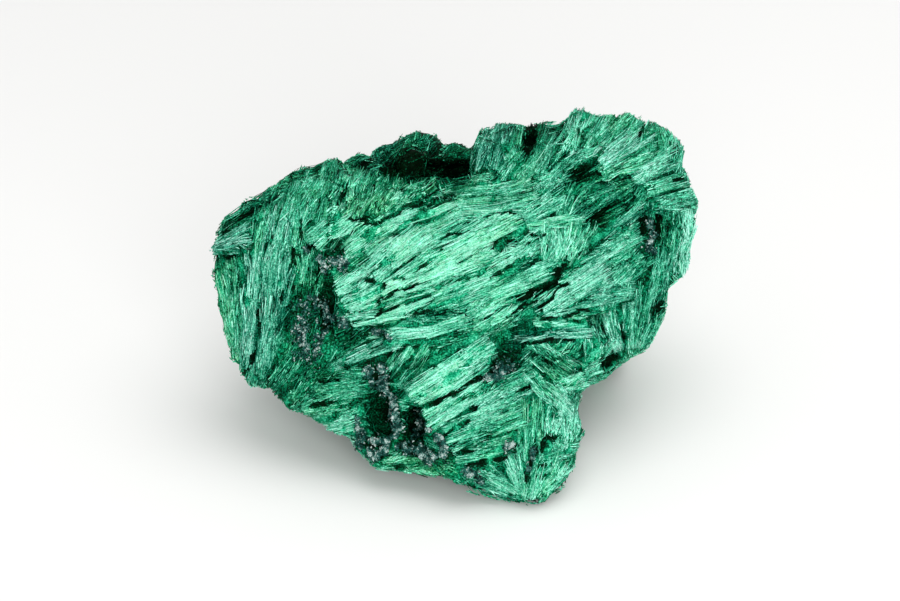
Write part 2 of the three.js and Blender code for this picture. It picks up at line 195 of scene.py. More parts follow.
GROUPS["fibres_slabs"] = table("""
# between the fan and the right side
13.8 3.1 24 9.6 2.2 4.8 .78 -.4 .5 plates
17.4 7.8 27.4 14 2.4 4.4 .66 -.1 .3 plates
14.6 2.2 22.4 4 1.2 1.6 .66 -.4 .3 reeds
20.6 4.8 28.4 6.8 2.4 3.6 .66 -.5 .2 reeds
24 12.2 30.4 15.6 3 3.6 .54 -.1 .1 reeds
26.4 8 31.4 12.6 3.6 3.4 .54 -.3 0 tufts
8.6 1.6 14 5.6 2.4 2.6 .72 -.1 -.3 tufts
# loose prisms at the lower right
12 1.2 23 1.8 1.4 2.4 .74 -.1 0 reeds
9.8 -1.5 21.9 -.5 1 1.2 .72 -.7 .4 plates
21.5 -1.5 21.5 -5.2 1.4 .9 .78 -.3 .5 plates
18.2 -4.6 21 -6.2 .9 1.2 .8 -.3 .3 plates
21.2 -6.8 25.4 -4.4 1.4 1.2 .76 -.3 .3 plates
22.6 -5.6 25.4 -1.8 1.2 2 .7 -.2 .2 reeds
26.8 -3.4 24.6 4.2 1.6 2.6 .74 -.3 .3 reeds
28.6 -3.4 29 7 2.2 2.8 .64 -.2 .1 reeds
23.6 -1.4 22.6 2.6 1.6 2 .56 -.1 0 tufts
12 -2.4 19.4 -8 3.4 4.2 .61 0 0 reeds
9 -6.8 13.6 -3.4 2.6 3 .42 0 0 tufts
17.8 -9 21.2 -7.4 2 2.4 .84 -.2 .1 tufts
# the slabs below the fan
-8.8 -9.6 -4.4 -3.6 2 2.4 .58 0 0 reeds
-7.2 -11.2 5.8 -3.3 3.6 4.8 .84 0 .6 plates
-4.8 -14.9 5.6 -7.8 4.2 4.8 .8 0 .8 plates
3.8 -13 12 -8.8 3.4 3.4 .58 -.3 .4 plates
4.4 -10.6 12 -7 2.4 2.2 .66 0 .3 plates
-1.4 -17.9 10.4 -13.4 4.2 4.6 .6 0 .5 plates
0 -20.8 9 -18.8 2.4 2.8 .66 0 .1 reeds
12 -7.4 17.6 -12.8 2.2 3.4 .7 -.1 .2 reeds
16.8 -8.8 19.4 -13.4 2.8 2.8 .66 -.3 .1 tufts
# the foot's fan, spread from a point near the ground
1.8 -23.2 7.4 -25.6 2.2 2.6 .62 -.3 0 pile
11.6 -27.6 4.4 -23.6 1.2 4.2 .62 -.1 0 reeds
11.4 -27.6 8.8 -20.4 1.2 3 .68 -.1 .2 reeds
11.6 -27.4 11.4 -19 1 2.4 .65 0 .3 reeds
12.4 -27.4 14.8 -19.8 1.2 3 .66 -.1 .2 reeds
14 -27.4 17.8 -22 2 3.4 .7 0 0 tufts
12.4 -19.6 12.4 -11.4 3.8 4 .54 .1 0 reeds
16.2 -19.4 17 -12 3.2 3.6 .74 -.3 0 tufts
14 -20.6 20 -18.6 2.4 2.8 .58 -.2 .1 tufts
19 -18.2 20 -11 2.2 2.4 .66 -.2 0 tufts
""")
GROUPS["fibres_lobe"] = table("""
# under the left end of the fan
-20.4 -6.2 -9.6 -1.4 1.2 2.6 .7 -.4 .5 plates
-20 -3.6 -14.2 .6 2.6 3.2 .44 0 0 reeds
-14.4 -.8 -9.6 -.2 1.6 1.4 .8 0 0 reeds
-11.4 -7.8 -8.4 -3 2.2 2.6 .5 0 0 reeds
-21.6 -8.2 -13.8 -7.2 2.8 2.6 .4 0 0 tufts
-22.6 -10 -15.6 -9.8 2 2 .44 0 0 hair
# its lower rows
-25 -13 -17 -10.6 1.8 2.8 .56 0 .3 reeds
-24.6 -14.2 -17 -13.2 2 2.8 .6 0 .2 reeds
-21.4 -16.4 -16.6 -15 2 2.6 .78 0 .1 reeds
-18.4 -18.6 -14.6 -18.8 2.4 2.6 .76 -.1 0 tufts
-12.6 -21.4 -8.4 -20.4 2.4 2.8 .6 .1 0 pile
-8 -22 -.6 -22.4 2.6 2.4 .5 .3 0 pile
# the lobe's underside
-29.6 -9.6 -24.6 -3.2 3.2 5 .4 -.1 .1 hair
-26.2 -11.4 -20.6 -5.4 2.4 4.6 .43 0 .1 hair
-22.4 -6.4 -19.6 -2.6 3 3 .48 -.1 0 tufts
-32.6 -9.4 -31.2 -2.6 2.2 2.8 .38 -.4 0 hair
-30 -3.8 -27.6 4.8 3 3.4 .39 -.3 0 tufts
-25.2 -3.4 -23.8 4.2 4.4 4.6 .4 0 0 pile
# the lobe at the left, spread from its lower end
-36.1 -4.6 -38.1 11.2 1.9 2.4 .54 .15 0 reeds
-35.1 -5.2 -35.6 12 1.4 2.6 .52 .15 0 reeds
-33.9 -6 -33 12 1.8 2.2 .6 -.5 .3 reeds
-32.6 -5.6 -30.8 11 1.4 2.8 .49 -.5 .2 reeds
-31 -6 -28 9.4 1.6 3.2 .47 -.5 .2 reeds
-33.1 11 -31.8 18.8 1.8 2.4 .5 0 0 reeds
-31.2 10 -28.8 18.8 2.4 3.2 .58 -.5 .2 reeds
-28.8 8.4 -27 18 2.8 2.6 .56 -.5 .1 reeds
-25.6 9.6 -25.8 18 2.6 2.6 .46 0 0 tufts
-24.2 5.6 -22.8 12.4 4 4 .46 0 -.2 hair
-39.7 13 -33.6 14.8 1.2 5 .68 -.5 .3 reeds
-38.8 15.6 -29.4 22.6 2 3 .3 -.1 0 plates
""")
# the knob at the back, dark partly with painted shade
GROUPS["fibres_crown"] = table("""
# tufts along the lobe's top
-30.2 18.4 -27.8 24 3.6 4 .42 0 0 reeds
-26.8 17.6 -23 25.4 4 4.6 .48 0 .1 tufts
-22.4 18.2 -18.8 27 4 4.4 .42 .1 .1 tufts
-17.4 18.6 -13.8 25.4 4 4.4 .5 .2 0 pile
-13.2 19 -9.4 24.2 3.6 4 .52 .2 0 pile
-9.6 20.6 -4.6 23.2 2.4 2.6 .62 .1 0 pile
-5.2 23 -2.4 25 2.4 2.2 .52 .1 .4 tufts
-28.6 23.6 -20.4 26.6 2.2 2.4 .2 0 0 tufts
# the dark knob at the back
-19 26.6 -14.4 28.4 2 2.4 .24 0 0 pile
-13.6 26 -9 30.4 3 3.4 .3 -.5 .3 pile
-9 26.4 -4 31.6 4.6 5 .24 0 .3 pile
-3.6 26.6 1.4 29 3.6 3.4 .24 -.1 0 pile
""")
SHEAVES = sum(GROUPS.values(), [])
LIFT = 8  # which number of a sheaf's row says how far it stands over the rest

# Sprays of fibres all round the far sides: the azimuth and elevation they are seen from, their middle,
# how far they reach, the direction in degrees from there to the point that they spread from, how pale.
SPRAYS = table("""
180 -5 -19 -10 10 -70 .62
180 -5 12 -12 10 -120 .54
175 5 -27 8 12 -160 .7
185 5 24 -1 12 -20 .58
180 0 -3 2 11 60 .52
180 5 9 15 8 100 .64
180 0 35 12 8 40 .66
180 0 -15 15 7 80 .6
180 0 -33 -6 7 200 .56
180 0 28 -16 7 -60 .6
95 0 23 1 11 -80 .64
95 0 9 11 8 70 .58
265 0 -19 0 11 -100 .6
265 0 -34 -10 8 190 .54
-30 -40 -25 -6 11 200 .56
30 -40 31 -13 7.5 -60 .6
0 -75 -14 -30 9 60 .54
0 -75 19 -31 9 120 .58
""")
ASIDE = 0.7  # how far from its middle a spray's point lies, as a share of its reach

# Hollows: the centre, then half sizes to the right, up and toward.
HOLLOWS = table("""
-19.8 13.2 1 1.9 1.4 7
-21 5.2 2 1.5 4.2 4.4
-12 -13.8 2 2.3 4.2 7
-6.5 -15 2 1.7 3.4 6
6.8 -5 6 1.1 2.6 4
25.2 -5.4 -5 1.9 1.3 7
12.3 30.8 -15 1.3 3.2 6
-3.4 25.8 -19 9 2.2 8
""")

# Dark patches of painted shade on the display side, where shade falls in clefts, gaps and hollows: the
# centre, the half sizes, how many degrees they slope, how dark.
SHADE_PATCHES = table("""
# under the knob at the back
-8 26.8 5.4 1.8 8 .9
-15.2 27 1.6 1 0 .9
-7 27.8 4.4 2.4 0 .75
-.6 25.8 2.4 1.2 0 .9
.8 27 1.6 1.6 0 .4
# cleft in the upper edge
12.2 30.8 3 1.4 78 .8
20.4 25.8 3.9 1.6 32 .35
23.6 19 4.6 1.2 34 .6
28.8 21.4 1.9 1.1 45 .6
30.8 17.4 2.8 .9 88 .9
33.4 17 2.6 .7 92 .8
34.6 15.5 4 1.1 85 .3
33 3.4 2.4 .8 58 .7
27.6 -1 2.4 .6 100 .9
26.8 7 1.6 .8 10 .5
9.2 14.2 1 .8 30 1
12.4 11.2 1.8 .9 40 .4
18 11.8 1.3 .5 72 .9
20.6 12.4 1.2 .45 65 .9
15.2 12.8 .9 .35 100 .8
-4.2 2.5 4.4 1 12 .35
# between the lobe and the fan
-22.4 9 2 3.4 -10 .4
-20.4 3.4 2.6 .9 110 .9
-19.6 13.2 1.6 1.1 20 1
-23.4 13.8 1.2 .9 0 .9
-20.9 1.4 .8 1.1 0 1
-16.6 -1 3 1.6 35 .3
-12.2 -13.4 4 2.5 100 .5
# the crusted hollow
-10.6 -14.6 2.2 1.1 120 1
-13 -18.8 1.4 .8 -20 1
-6.4 -14.6 3.4 1.2 118 .7
-2.4 -17.8 1.6 .8 -40 1
-11.2 -8 1 1.2 0 .9
6.8 -5.2 2.6 .9 70 1
25.2 -5.3 2 1.3 10 1
-28.6 5.6 1.3 .7 -50 .8
5.2 -16.9 1 .3 14 1
3.6 -12.4 1.3 .6 75 1
""")

# Cracks, where fibres break off and sink and painted shade darkens them: the half width and how dark, then
# the places along it.
CRACKS = lines_of("""
.5 .9 -17.4 18.2 -13 17.2 -11.4 18.4 -8.6 19.4
.5 .8 -8.8 20.4 -3.6 20.4 -1 21.6 .2 22.2
.35 1 -14.9 8.5 -13.2 7.7 -12.2 7.5 -11.8 6.6
.3 .75 -12 5.1 -10 6.1 -6.2 7.6
.35 .9 -12.6 4.8 -11.8 4 -12.4 2.6
.3 .9 -13.2 2.2 -11.4 2.9 -9.2 4
.3 .9 -8 4.3 -6.4 4.9 -4.6 5.3
.3 .9 -6.7 9.4 -5.4 10.2 -4.2 11
.25 .8 -10 8.4 -8.8 9 -8.2 8.5
.3 .9 -19.2 4.2 -17 2.3
.3 .8 -2.4 14.6 -.6 15.6 1.4 16
.3 .7 -2 16 .4 17.4 2.2 17.6
.25 .8 .4 11 2.4 12
.5 .6 -7.6 2.4 -5 3.4 -3 2.6 -1 3 .4 3.4
.3 .6 2.2 1.8 5 1.8
.7 1 10.6 5.4 14.6 7 16.4 8 17.4 9.8 17.9 11
.4 .75 8.4 2.2 10.4 3.6 13.6 5.4
.4 .9 13.8 3.9 15.4 5.4 17.2 7.4 18.6 7.6
.4 .6 8.8 1.8 9.8 .6 9.6 -.4
.3 .9 6 8.7 7.4 9.5
.3 .9 8.4 10 9.4 10.9
.3 .8 5 18.6 7 19.4 10 19
.3 .7 3 22 6 22.1 8 21.8
.35 .8 12.6 15.6 14.8 16.1
.5 .9 -5.4 -12.4 -3 -11.6 1 -9.4 5.4 -7.2
.35 .9 -1.2 -17 .2 -16 2.4 -15.2
.3 .9 -1 -19.6 .4 -18.8
.3 .9 .6 -20.2 3.4 -19.8
.4 1 2.2 -22.4 4.4 -21.8 6.6 -21.4 8.6 -20.8
.45 1 11.8 -24.8 12 -22.6 12.9 -19.8
.5 .8 14.2 -19.6 15 -17.6 16.2 -17.4
.35 .65 -18.6 -5.8 -14.6 -5.4 -11 -4.4 -7.4 -2.6 -5.4 -2.8
.35 .9 -23.6 -12.2 -20 -11.6 -18 -12.4
.35 .8 -21.8 -8.6 -19.4 -8
.5 .9 -32.5 2.8 -32.3 0 -31.8 -.6
.45 .9 -33.2 -5.4 -32.5 -3.6
.4 .9 -26.4 13.2 -26.4 11.2 -26 10
.3 .9 -25.4 17.8 -25.2 14.8
.4 1 -39 11.8 -36.6 12 -34.6 12.4
.35 .7 -33.7 15.8 -33.4 12.4 -33.6 9
.3 .7 -31.6 11.6 -30.4 15 -29.6 17.2
.3 .7 -36.8 10 -36.4 7.4
.7 .6 -38 16.4 -34.8 18.4 -31.4 20.6 -28.6 22.4
.4 .7 -19.4 20.8 -18.2 22.4 -16.8 24.2
.4 .8 15.8 26.4 17.8 28.4
.35 .8 16 30.6 17.4 33 18 34.2
.35 .7 20.6 30.4 22 32
.3 .7 24.4 29.2 26 30.2
.4 .8 30.4 31.8 31 33.6
.4 .8 36.2 24.8 38 24.6
.4 .6 24 24.4 28 24.8 31 26.4
.4 .8 18 2.4 20.6 3.2 22 3
.35 .9 14 1.6 17 1.8 20 1.4
.35 .9 12 -2.1 16 -1.7 20 -1.6
.35 .9 19.2 -6.5 21 -6.4
.4 .7 12.6 -3.6 15 -5.2 17 -6.4
.35 .8 10 -10.4 12.4 -9.2
.4 .7 8 -11 9 -12.8 7.6 -13.6
""")

# The knob at the back, which is lumpier than the rest: its centre and half sizes as it is seen.
KNOB = ([-8, 28.6], [10.5, 4.6])
# Parts that stand out a little, the foot's right side and the block's corner: the same, then how far.
STANDING_OUT = [([16.5, -20], [3, 6], 0.6), ([35.5, 32], [5.5, 5], 0.7)]

# Where crust grows: the half width and how dense its grains are, then the places along it.
CRUSTS = lines_of("""
.5 15 -14.3 -6.1 -13.4 -8.4 -11.8 -9.5
.42 17 -12 -5.8 -11.6 -7.6 -11.4 -9.5 -10.4 -11.2 -9.8 -13.4 -9.5 -15.9
.45 18 -9.5 -15.9 -7.6 -17.3 -5.9 -19 -4.4 -20.4 -3.1 -21.2
.35 13 -16.1 -14.2 -15.5 -16.2 -14.6 -17.7 -12.9 -18.2 -10.9 -18.2 -8.7 -16.7
.45 15 -15.4 -18.2 -14 -19.8 -12.9 -21 -11.7 -20.3 -11.2 -19
.42 17 -5.9 -13.4 -5.3 -15.6 -4.2 -16.8 -2.3 -17.9 -1.7 -19.6 -2 -21
.42 17 -6.5 -19 -5.3 -20.5 -3.9 -21.6
.4 14 -9.2 -19.4 -8 -18.8 -7.2 -20.2
1 10 -25 4.4 -23 4.2 -21.8 3 -22 .6 -22.2 -1.4
1.5 8 -25 1.6 -24 -1.4 -23.4 -4.4
.45 14 -20.6 2 -18.6 1.2 -17.6 .6
.4 12 -13.4 0 -11.8 -.6 -11 -1.6
.4 15 -20.4 11 -18.9 11.4 -17.7 10.6 -18.8 10
.4 12 -24.4 13 -23 12.4 -21.8 11.2 -21.2 9.4
.4 10 31.6 17.8 32.2 15.6 31.2 13.4 32.6 12.6
.8 14 5 -8.4 6.6 -7.2 8 -6.2 9.4 -5
.5 9 1.8 -23 3.4 -23.8 4.4 -25
.45 10 8.2 -19.4 9.4 -18.8
.3 11 13 -19.4 12.4 -21.4 11.9 -23.4
""")


def unit(vectors):
    """Vectors brought to length one."""
    return vectors / np.maximum(np.linalg.norm(vectors, axis=-1, keepdims=True), 1e-9)


NOISE_VALUES = 4096  # how many values the corners of the noise's cells share
PRIMES = np.array([73856093, 19349663, 83492791])  # they mix a cell's three numbers


def noise(places, wavelength, seed):
    """Smooth noise from -1 to 1."""
    values = np.random.default_rng(seed).uniform(-1, 1, NOISE_VALUES)
    scaled = places / wavelength
    cell = np.floor(scaled).astype(np.int64)
    part = scaled - cell
    part = part * part * (3 - 2 * part)
    total = np.zeros(places.shape[:-1])
    for corner in np.ndindex(2, 2, 2):
        spot = cell + corner
        x, y, z = np.moveaxis(spot * PRIMES, -1, 0)
        weight = np.prod(np.where(corner, part, 1 - part), axis=-1)
        total += values[(x ^ y ^ z) % NOISE_VALUES] * weight
    return total


def streaks(places, along, wavelength, reach, seed):
    """Noise drawn out along the fibres, mostly from -2 to 2."""
    steps = np.linspace(-reach, reach, 9)
    total = sum(noise(places + along * step, wavelength, seed) for step in steps)
    return total / total.std()


def fading(share, full, none):
    """1 up to a share of full, falling to 0 at a share of none."""
    return np.clip((none - share) / (none - full), 0, 1)


def in_ellipse(spots, centre, half_sizes, slope=0):
    """How far within an ellipse, from 0 to 1."""
    turn = math.radians(slope)
    offset = spots - centre
    along = offset[..., 0] * math.cos(turn) + offset[..., 1] * math.sin(turn)
    across = offset[..., 1] * math.cos(turn) - offset[..., 0] * math.sin(turn)
    share = np.hypot(along / half_sizes[0], across / half_sizes[1])
    return fading(share, 0.6, 1.1)


def from_line(spots, line):
    """How far places are from a line through points."""
    nearest = np.full(len(spots), np.inf)
    for a, b in zip(line[:-1], line[1:]):
        along = b - a
        share = np.clip((spots - a) @ along / (along @ along), 0, 1)
        nearest = np.minimum(nearest, np.linalg.norm(spots - a - share[:, None] * along, axis=1))
    return nearest


def wandering(places):
    """Where places are seen, moved about by up to 0.5 mm so that marks get uneven edges."""
    aside = np.stack([noise(places, 1.1, seed) for seed in (71, 72)], -1)
    return DISPLAY.seen(places)[..., :2] + 0.5 * aside


def shown(facing):
    """Whether what faces so can be seen from the display side, or nearly."""
    return facing @ DISPLAY.toward > -0.1


def cracked_open(places):
    """From 0 to 1, how far places lie within the cracks."""
    spots = wandering(places)
    open_share = np.zeros(len(places))
    for half_width, amount, line in CRACKS:
        within = fading(from_line(spots, line) / half_width, 0.5, 1.125)
        open_share = np.maximum(open_share, amount * within)
    return open_share


# Hollows are darkened with painted shade, and the body keeps a dark green floor in them.
HOLLOW_WIDER = 1.12  # how much wider a hollow's colour reaches than the hollow


def hollowed(places):
    """From 0 to 1, how far places lie within the hollows."""
    seen = np.concatenate([wandering(places), DISPLAY.seen(places)[:, 2:]], 1)
    share = np.zeros(len(places))
    for row in HOLLOWS:
        centre, half_sizes = np.reshape(row, (2, 3))
        reach = np.linalg.norm((seen - centre) / (half_sizes * HOLLOW_WIDER), axis=1)
        share = np.maximum(share, np.clip(4 - 3.4 * reach, 0, 1))
    return share


def painted_shade(places, facing):
    """From 0 to 1, how much painted shade the dark patches, cracks, raised sheaves' edges and hollows lay on
    each place.
    """
    spots = wandering(places)
    dark = cracked_open(places)
    for row in SHADE_PATCHES:
        dark = np.maximum(dark, row[5] * in_ellipse(spots, row[:2], row[2:4], row[4]))
    dark = np.maximum(dark, 0.7 * edge_shade(spots))
    return np.maximum(dark * shown(facing), 0.5 * hollowed(places))


FULL_DENSITY = 16  # how dense a crust's grains have to be to hide the fibres


def crusted(places, facing, wider=1):
    """From 0 to 1, how far places lie within the crust, or within a wider strip round it."""
    spots = wandering(places)
    share = np.zeros(len(places))
    for half_width, density, line in CRUSTS:
        within = fading(from_line(spots, line) / (wider * half_width), 0.6, 1.6)
        share = np.maximum(share, within * min(1, density / FULL_DENSITY))
    return share * shown(facing)


def inset(row, spots):
    """How far places lie inside the start and the sides of a sheaf, in mm, and how far short of its end."""
    start, end, widths = np.reshape(row[:6], (3, 2))
    length = np.linalg.norm(end - start)
    along = (end - start) / length
    offset = spots - start
    onward = offset @ along
    aside = np.abs(offset @ np.array([-along[1], along[0]]))
    half = (widths[0] + (widths[1] - widths[0]) * np.clip(onward / length, 0, 1)) / 2
    return np.minimum(half - aside, onward), length - onward


EDGE_REACH = 0.6  # how far from a raised sheaf's edge its shade reaches
EDGE_LIFT = 0.25  # sheaves that stand at least this high have such edges
FULL_EDGE_LIFT = 0.5  # and from this high on their shade is full


def edge_shade(spots):
    """From 0 to 1, how close below the free edges of raised sheaves places lie."""
    shade, covered = np.zeros(len(spots)), np.zeros(len(spots))
    for row in SHEAVES:
        if row[LIFT] > EDGE_LIFT:
            inside, short = inset(row, spots)
            near = np.clip(1 + inside / EDGE_REACH, 0, 1) * (inside < 0) * (short > 0.8)
            shade = np.maximum(shade, near * min(1, row[LIFT] / FULL_EDGE_LIFT))
            covered = np.maximum(covered, np.clip(inside / 0.3 + 0.5, 0, 1) * (short > 0))
    return shade * (1 - covered)


def standing(places, facing):
    """How far the sheaves raise or lower each place of the display side, in mm."""
    spots = DISPLAY.seen(places)[:, :2]
    raised, sunk = np.zeros(len(places)), np.zeros(len(places))
    for row in SHEAVES:
        inside, short = inset(row, spots)
        lift = row[LIFT] * np.clip(np.minimum(inside / 0.35, short / 2) + 0.5, 0, 1)
        raised = np.maximum(raised, lift)
        sunk = np.minimum(sunk, lift)
    return np.where(raised > 0, raised, sunk) * np.clip(3 * facing @ DISPLAY.toward, 0, 1)


def bumps(places):
    """The small unevenness that the body and its fibres share, in mm."""
    spots = DISPLAY.seen(places)[..., :2]
    even = 0.6 * noise(places, 3.4, 91) + 0.3 * noise(places, 1.5, 92) + 0.18
    knob = in_ellipse(spots, *KNOB) * (1.3 * noise(places, 3.2, 93) + 0.2)
    out = sum(amount * in_ellipse(spots, centre, half_sizes) for centre, half_sizes, amount in STANDING_OUT)
    return even + knob + out


OPEN_RAYS = 8  # how many rays tell how open a place is
CLEAR = 0.25  # how far above the surface they start


class Surface:
    """The mass's surface, to lay fibres on."""

    def __init__(self, node):
        mesh = node.data
        places = np.empty(len(mesh.vertices) * 3)
        mesh.vertices.foreach_get("co", places)
        self.places = places.reshape(-1, 3) / MM
        self.triangles = np.array([p.vertices[:] for p in mesh.polygons])
        self.tree = BVHTree.FromPolygons(self.places.tolist(), self.triangles.tolist())

    def cast(self, side, spots):
        """Where lines of sight meet it: places, ways it faces, and whether they meet it at all."""
        aims = unit(side.at(spots) - side.eye)
        places = np.zeros((len(spots), 3))
        facing = np.zeros((len(spots), 3))
        met = np.zeros(len(spots), bool)
        eye = Vector(side.eye)
        for i, aim in enumerate(aims.tolist()):
            place, normal, _, _ = self.tree.ray_cast(eye, Vector(aim))
            if place is not None:
                places[i] = place
                facing[i] = normal
                met[i] = True
        return places, facing, met

    def nearest(self, places):
        """The nearest places of it, and the ways it faces there."""
        found = [self.tree.find_nearest(Vector(p)) for p in places.tolist()]
        return np.array([f[0] for f in found]), np.array([f[1] for f in found])

    def openness(self, places, facing, reach=5):
        """From 0, shut in, to 1, how little of the mass stands round places."""
        spiral = np.arange(OPEN_RAYS) + 0.5
        height = np.sqrt(1 - 0.85 * spiral / OPEN_RAYS)
        turn = spiral * math.pi * (3 - math.sqrt(5))
        flat = np.sqrt(1 - height**2)
        rays = np.stack([flat * np.cos(turn), flat * np.sin(turn), height], -1)
        aside = unit(np.cross(facing, np.roll(facing, 1, axis=1) + [0.1, 0.2, 0.3]))
        across = np.cross(facing, aside)
        open_share = np.zeros(len(places))
        starts = [Vector(p) for p in (places + facing * CLEAR).tolist()]
        for x, y, z in rays:
            aims = (aside * x + across * y + facing * z).tolist()
            free = [self.tree.ray_cast(p, Vector(a), reach)[0] is None for p, a in zip(starts, aims)]
            open_share += free
        return open_share / OPEN_RAYS

    def scatter(self, count):
        """Places evenly over it, and the ways it faces there."""
        a, b, c = (self.places[self.triangles[:, k]] for k in range(3))
        normals = np.cross(b - a, c - a)
        areas = np.linalg.norm(normals, axis=1)
        chosen = CHANCE.choice(len(areas), count, p=areas / areas.sum())
        u, v = CHANCE.random((2, count, 1))
        over = u + v > 1
        u, v = np.where(over, 1 - u, u), np.where(over, 1 - v, v)
        places = a[chosen] * (1 - u - v) + b[chosen] * u + c[chosen] * v
        return places, unit(normals[chosen])


class Fibres:
    """Fibres as arrays: three places each, ways the surface faces, thickness, and paleness and hue."""

    def __init__(self, places, facing, thick, tone, hue):
        self.places = places
        self.facing = facing
        self.thick = thick
        self.tone = tone
        self.hue = hue

    def __len__(self):
        return len(self.places)

    def only(self, kept):
        """Some of them."""
        return Fibres(self.places[kept], self.facing[kept], self.thick[kept], self.tone[kept], self.hue[kept])

    @staticmethod
    def joined(parts):
        """All the fibres of several."""
        lists = zip(*[(p.places, p.facing, p.thick, p.tone, p.hue) for p in parts])
        return Fibres(*[np.concatenate(group) for group in lists])


DARKEST = -0.16  # below 0, so that the material's noise leaves it black
STATIONS, DASH_STATIONS = 9, 5  # places along a whole fibre and a short one where it is laid down
STEEP = 4  # a fibre ends where the surface drops or rises more steeply than this from one to the next
CUT = 0.7  # it also ends where a crack is open by this share
SIDES = 0.54  # how far from its middle line a sheaf reaches, as a share of its width
LENGTHS = 0.5, 1.3  # the shortest and the longest fibre, as shares of what its style says
THICKNESSES = 0.7, 1.4  # the thinnest and the thickest, as such shares
DEPTHS = -0.22, 0.1  # how far the lowest and the highest fibre of a bundle lie from its middle
PROFILE = np.array([-0.06, 0.02, -0.05])  # how high a fibre's start, middle and end lie
TIP_SHARES = np.array([0, 0.25, 1])  # how much of a raised tip they take


def bundled(onward, aside, style, seed):
    """Noise drawn out along a sheaf, which tells its bundles apart."""
    flat = np.stack([onward / style["stretch"], aside, np.full(len(aside), 7.3 * seed)], -1)
    return noise(flat, style["bundle"], seed) + 0.4 * noise(flat, style["bundle"] / 2.6, seed + 1)


def sheaf(surface, row, layers, shorter=1):
    """The fibres of one sheaf of the display side, or shorter broken ones over them."""
    start, end, widths = np.reshape(row[:6], (3, 2))
    tone, hue, lift, style_name = row[6:]
    style = STYLES[style_name]
    length = np.linalg.norm(end - start)
    along = (end - start) / length
    across = np.array([-along[1], along[0]])
    common = style["length"] * shorter
    n = max(8, round(length * sum(widths) / 2 * layers / (style["thick"] * common)))
    seed = int(CHANCE.integers(1000))
    aside = CHANCE.uniform(-SIDES, SIDES, n)
    begin = CHANCE.uniform(-0.5 * common, length - 0.3 * common, n)
    finish = begin + common * CHANCE.uniform(*LENGTHS, n)
    width = widths[0] + (widths[1] - widths[0]) * np.clip(begin / length, 0, 1)
    if style["blunt"]:
        jagged = noise(np.stack([aside * width, aside * 0, aside * 0], -1), 0.9, seed + 5)
        edge = 0.5 * jagged + CHANCE.normal(0, 0.06, n)
        begin = np.maximum(begin, edge)
        finish = np.minimum(finish, length + 0.6 + 0.8 * jagged)
    reach = np.maximum(finish - begin, 0)
    where = (begin + finish) / 2, aside * width, style
    height, turned, paler = (bundled(*where, seed + more) for more in (0, 11, 22))

    angle = np.arctan((widths[1] - widths[0]) / length * aside) + np.radians(style["turn"] * turned)
    angle += np.radians(CHANCE.normal(0, style["splay"], n))
    first = start + along * begin[:, None] + across * (aside * width)[:, None]
    heading = along * np.cos(angle)[:, None] + across * np.sin(angle)[:, None]
    sideways = across * np.cos(angle)[:, None] - along * np.sin(angle)[:, None]
    stations = STATIONS if shorter == 1 else DASH_STATIONS
    steps = np.linspace(0, 1, stations)[None, :, None]
    bend = (CHANCE.normal(0, 0.02, n) * reach)[:, None, None] * 4 * steps * (1 - steps)
    spots = first[:, None] + heading[:, None] * steps * reach[:, None, None] + sideways[:, None] * bend

    places, facing, met = surface.cast(DISPLAY, spots.reshape(-1, 2))
    places = places.reshape(n, stations, 3)
    facing = facing.reshape(n, stations, 3)
    met = met.reshape(n, stations)
    depth = places @ DISPLAY.toward
    pace = reach / (stations - 1)
    broken = ~met | (cracked_open(places.reshape(-1, 3)) > CUT).reshape(n, stations)
    broken[:, 1:] |= np.abs(np.diff(depth, axis=1)) > STEEP * pace[:, None] + 0.25
    # how many stations from the start lie on the surface, and the first, middle and last of them
    run = np.argmax(np.concatenate([broken, np.ones((n, 1), bool)], 1), axis=1)
    picks = np.round(np.linspace(0, 1, 3)[None] * (run[:, None] - 1)).astype(int)
    picks = np.arange(n)[:, None], np.maximum(picks, 0)
    places, facing = places[picks], facing[picks]
    toward = facing.mean(1) @ DISPLAY.toward
    facing = unit(facing.mean(1, keepdims=True) + facing)
    kept = (run >= 3) & (toward > 0.2) & (reach > 0.4)

    depths = CHANCE.uniform(*DEPTHS, (n, 1))
    profile = PROFILE + CHANCE.random((n, 1)) ** 2 * style["tip"] * TIP_SHARES
    flatter = np.clip(1.7 * toward - 0.1, 0.2, 1)[:, None]
    rise = (lift + style["step"] * height[:, None] + depths + profile) * flatter + bumps(places)
    places = places + facing * rise[..., None]
    thick = style["thick"] * CHANCE.uniform(*THICKNESSES, n)
    # Fibres lying lower are darker and higher bundles paler: painted shade and light, with paleness that also
    # varies at random.
    tones = tone + 0.13 * height + 0.1 * paler + 0.5 * depths[:, 0] + CHANCE.normal(0.03, 0.15, n)
    hues = hue + 0.2 * paler + 0.25 * noise(places[:, 1], 4, 95) + CHANCE.normal(0, 0.12, n)
    return Fibres(places, facing, thick, tones, hues).only(kept)


